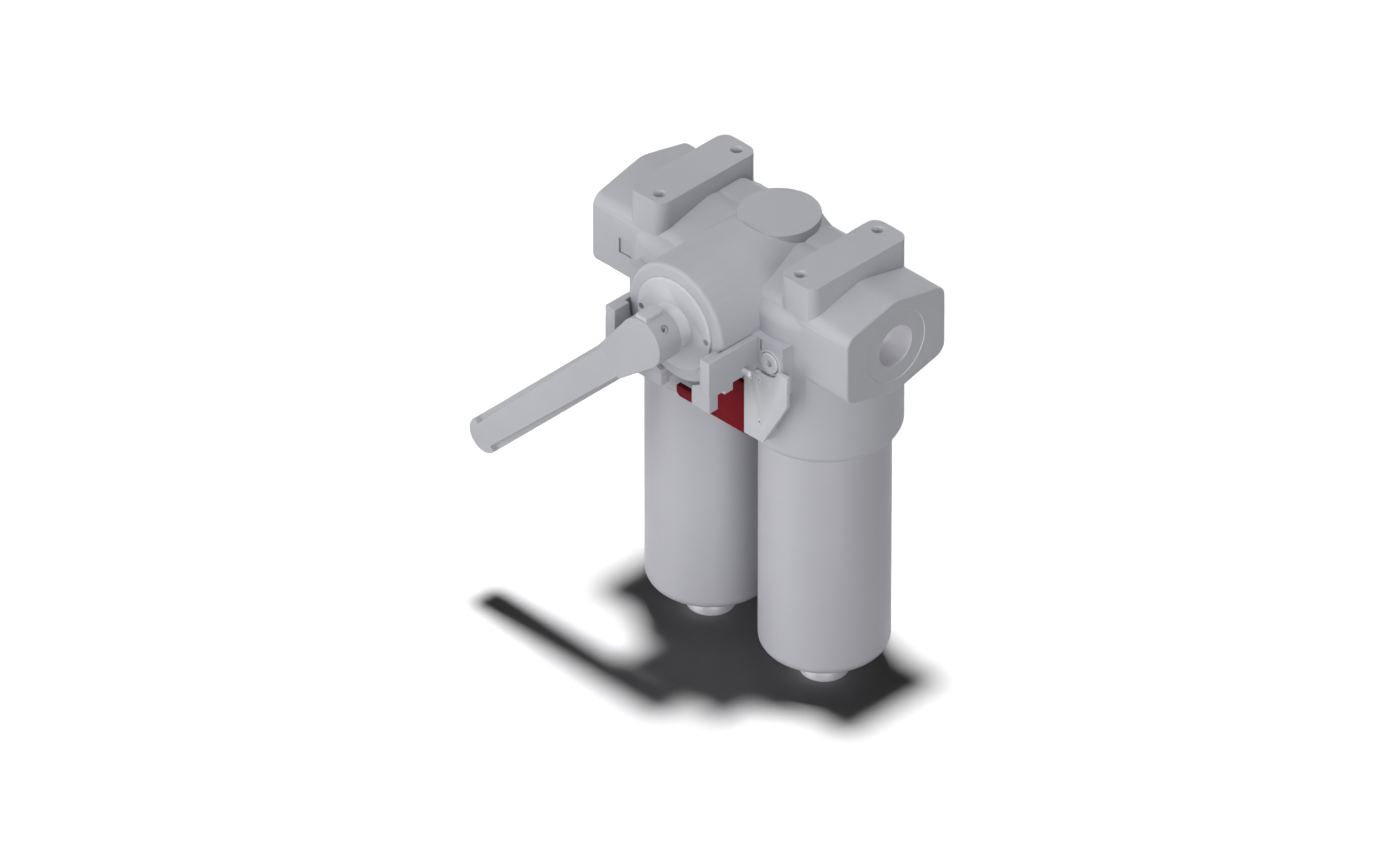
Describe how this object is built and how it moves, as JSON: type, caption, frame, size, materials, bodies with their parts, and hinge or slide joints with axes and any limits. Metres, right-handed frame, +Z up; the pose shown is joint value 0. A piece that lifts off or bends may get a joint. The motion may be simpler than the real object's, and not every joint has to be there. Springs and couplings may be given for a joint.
{
  "type": "duplex strainer",
  "caption": "Changeover duplex strainer: twin screw-in bowls under a ported valve head, with a front lever that sends the flow to either element and a red locking slide.",
  "frame": {"origin": "centre of the four tapped mounting holes, on the mounting face on top of the head", "axes": "+Z up out of the mounting face, +X from the inlet port to the outlet port, -Y to the lever's side"},
  "size_m": [0.2891, 0.174, 0.3485],
  "materials": {
    "cast_head": "fine sand-cast skin with a light grey lacquer",
    "machined_cover": "turned, satin",
    "black_rubber": "matt",
    "plated_screws": "zinc plated",
    "bronze_washer": "satin",
    "valve_steel": "ground",
    "cast_lever": "die-cast, satin",
    "red_slide": "dark red semi-gloss lacquer",
    "bracket_steel": "light grey lacquer",
    "plate_steel": "light grey lacquer",
    "bowl_tube": "drawn tube, satin anodised",
    "element_cap": "moulded",
    "filter_media": "pleated fibre mat",
    "drain_steel": "satin zinc",
    "seal_copper": "soft copper"
  },
  "bodies": {
    "housing": {"bowl_left": "bowl_tube", "bowl_right": "bowl_tube", "bowl_seal_left": "black_rubber", "bowl_seal_right": "black_rubber", "drain_plug_left": "drain_steel", "drain_plug_right": "drain_steel", "drain_seal_left": "seal_copper", "drain_seal_right": "seal_copper", "element_bottom_cap_left": "element_cap", "element_bottom_cap_right": "element_cap", "element_cap_seal_left": "black_rubber", "element_cap_seal_right": "black_rubber", "element_core_left": "valve_steel", "element_core_right": "valve_steel", "element_media_left": "filter_media", "element_media_right": "filter_media", "element_spigot_left": "valve_steel", "element_spigot_right": "valve_steel", "element_top_cap_left": "element_cap", "element_top_cap_right": "element_cap", "front_cover": "machined_cover", "front_cover_seal": "black_rubber", "guard_plate_left": "plate_steel", "guard_plate_pin": "valve_steel", "guard_plate_right": "plate_steel", "guard_plate_screws_left": "plated_screws", "guard_plate_screws_right": "plated_screws", "head_casting": "cast_head", "stop_bracket_left": "bracket_steel", "stop_bracket_right": "bracket_steel", "thrust_washer": "bronze_washer"},
    "lever": {"changeover_lever": "cast_lever", "lever_screw": "plated_screws", "position_pointer": "machined_cover", "valve_spindle": "valve_steel", "spindle_seal": "black_rubber", "valve_plug": "valve_steel"},
    "slide": {"locking_slide": "red_slide"},
    "knob": {"equalising_knob": "machined_cover"}
  },
  "joints": [
    {"name": "lever_turn", "type": "hinge", "parent": "housing", "child": "lever", "pos_m": [0, -0.1, -0.0475], "axis": [0, -1, 0], "range_deg": [0, 90]},
    {"name": "slide_shift", "type": "slide", "parent": "housing", "child": "slide", "axis": [-1, 0, 0], "range_m": [0, 0.0197]},
    {"name": "equalising_turn", "type": "hinge", "parent": "housing", "child": "knob", "pos_m": [0.0605, -0.06, -0.064], "axis": [0, -1, 0], "range_deg": [0, 180]}
  ]
}
